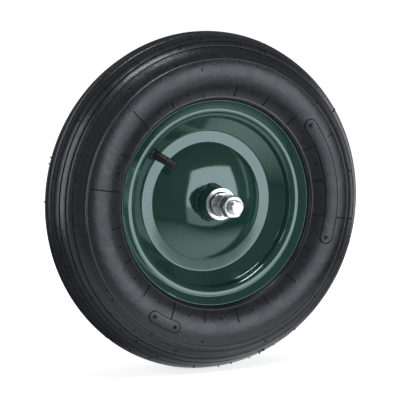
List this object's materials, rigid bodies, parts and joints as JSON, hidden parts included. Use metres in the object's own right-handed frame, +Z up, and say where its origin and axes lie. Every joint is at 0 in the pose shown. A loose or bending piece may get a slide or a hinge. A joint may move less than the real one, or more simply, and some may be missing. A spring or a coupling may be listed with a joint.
{
  "type": "wheelbarrow wheel",
  "caption": "Pneumatic wheel for a wheelbarrow: ribbed tyre on a pressed, painted steel rim, turning on ball bearings along a threaded axle with nuts.",
  "frame": {"origin": "the wheel's centre, on the axle and in the middle plane of the tyre", "axes": "+Y along the axle, away from the side with the valve; +Z up as the wheel rolls; +X forwards"},
  "size_m": [0.3996, 0.168, 0.3996],
  "materials": {
    "tyre_rubber": "satin black moulded rubber",
    "tube_rubber": "dull black butyl rubber",
    "valve_rubber": "satin black rubber",
    "green_paint": "gloss dark green paint",
    "zinc_plate": "bright zinc plate",
    "bearing_steel": "polished steel",
    "brass": "turned brass",
    "cap_plastic": "black moulded plastic"
  },
  "bodies": {
    "axle": {"axle": "zinc_plate", "front_inner_race": "bearing_steel", "rear_inner_race": "bearing_steel", "front_washer": "zinc_plate", "rear_washer": "zinc_plate", "front_inner_nut": "zinc_plate", "rear_inner_nut": "zinc_plate"},
    "wheel": {"tyre": "tyre_rubber", "inner_tube": "tube_rubber", "hub_tube": "green_paint", "front_rim_half": "green_paint", "rear_rim_half": "green_paint", "front_hub_weld": "green_paint", "rear_hub_weld": "green_paint", "front_bearing_cup": "zinc_plate", "rear_bearing_cup": "zinc_plate", "front_dust_shield": "zinc_plate", "rear_dust_shield": "zinc_plate", "valve_stem": "valve_rubber", "valve_barrel": "brass", "valve_core": "brass"},
    "front_ball_set": {"front_ball_cage": "bearing_steel", "front_ball_1": "bearing_steel", "front_ball_2": "bearing_steel", "front_ball_3": "bearing_steel", "front_ball_4": "bearing_steel", "front_ball_5": "bearing_steel", "front_ball_6": "bearing_steel", "front_ball_7": "bearing_steel"},
    "rear_ball_set": {"rear_ball_cage": "bearing_steel", "rear_ball_1": "bearing_steel", "rear_ball_2": "bearing_steel", "rear_ball_3": "bearing_steel", "rear_ball_4": "bearing_steel", "rear_ball_5": "bearing_steel", "rear_ball_6": "bearing_steel", "rear_ball_7": "bearing_steel"},
    "front_outer_nut": {"front_outer_nut": "zinc_plate"},
    "rear_outer_nut": {"rear_outer_nut": "zinc_plate"},
    "valve_pin": {"valve_pin": "brass"},
    "valve_cap": {"valve_cap": "cap_plastic"}
  },
  "joints": [
    {"name": "wheel_spin", "type": "hinge", "parent": "axle", "child": "wheel", "pos_m": [0, 0, 0], "axis": [0, 1, 0], "continuous": true},
    {"name": "front_ball_spin", "type": "hinge", "parent": "axle", "child": "front_ball_set", "pos_m": [0, -0.033, 0], "axis": [0, 1, 0], "continuous": true},
    {"name": "rear_ball_spin", "type": "hinge", "parent": "axle", "child": "rear_ball_set", "pos_m": [0, 0.033, 0], "axis": [0, 1, 0], "continuous": true},
    {"name": "front_nut_travel", "type": "slide", "parent": "axle", "child": "front_outer_nut", "axis": [0, -1, 0], "range_m": [0, 0.025]},
    {"name": "rear_nut_travel", "type": "slide", "parent": "axle", "child": "rear_outer_nut", "axis": [0, 1, 0], "range_m": [0, 0.025]},
    {"name": "valve_cap_travel", "type": "slide", "parent": "wheel", "child": "valve_cap", "axis": [0.4692, -0.7953, -0.384], "range_m": [0, 0.014]},
    {"name": "valve_pin_press", "type": "slide", "parent": "wheel", "child": "valve_pin", "axis": [-0.4692, 0.7953, 0.384], "range_m": [0, 0.0015], "stiffness_N_per_m": 500}
  ],
  "couplings": [
    {"joint": "front_ball_spin", "follows": "wheel_spin", "ratio": 0.612},
    {"joint": "rear_ball_spin", "follows": "wheel_spin", "ratio": 0.612}
  ]
}
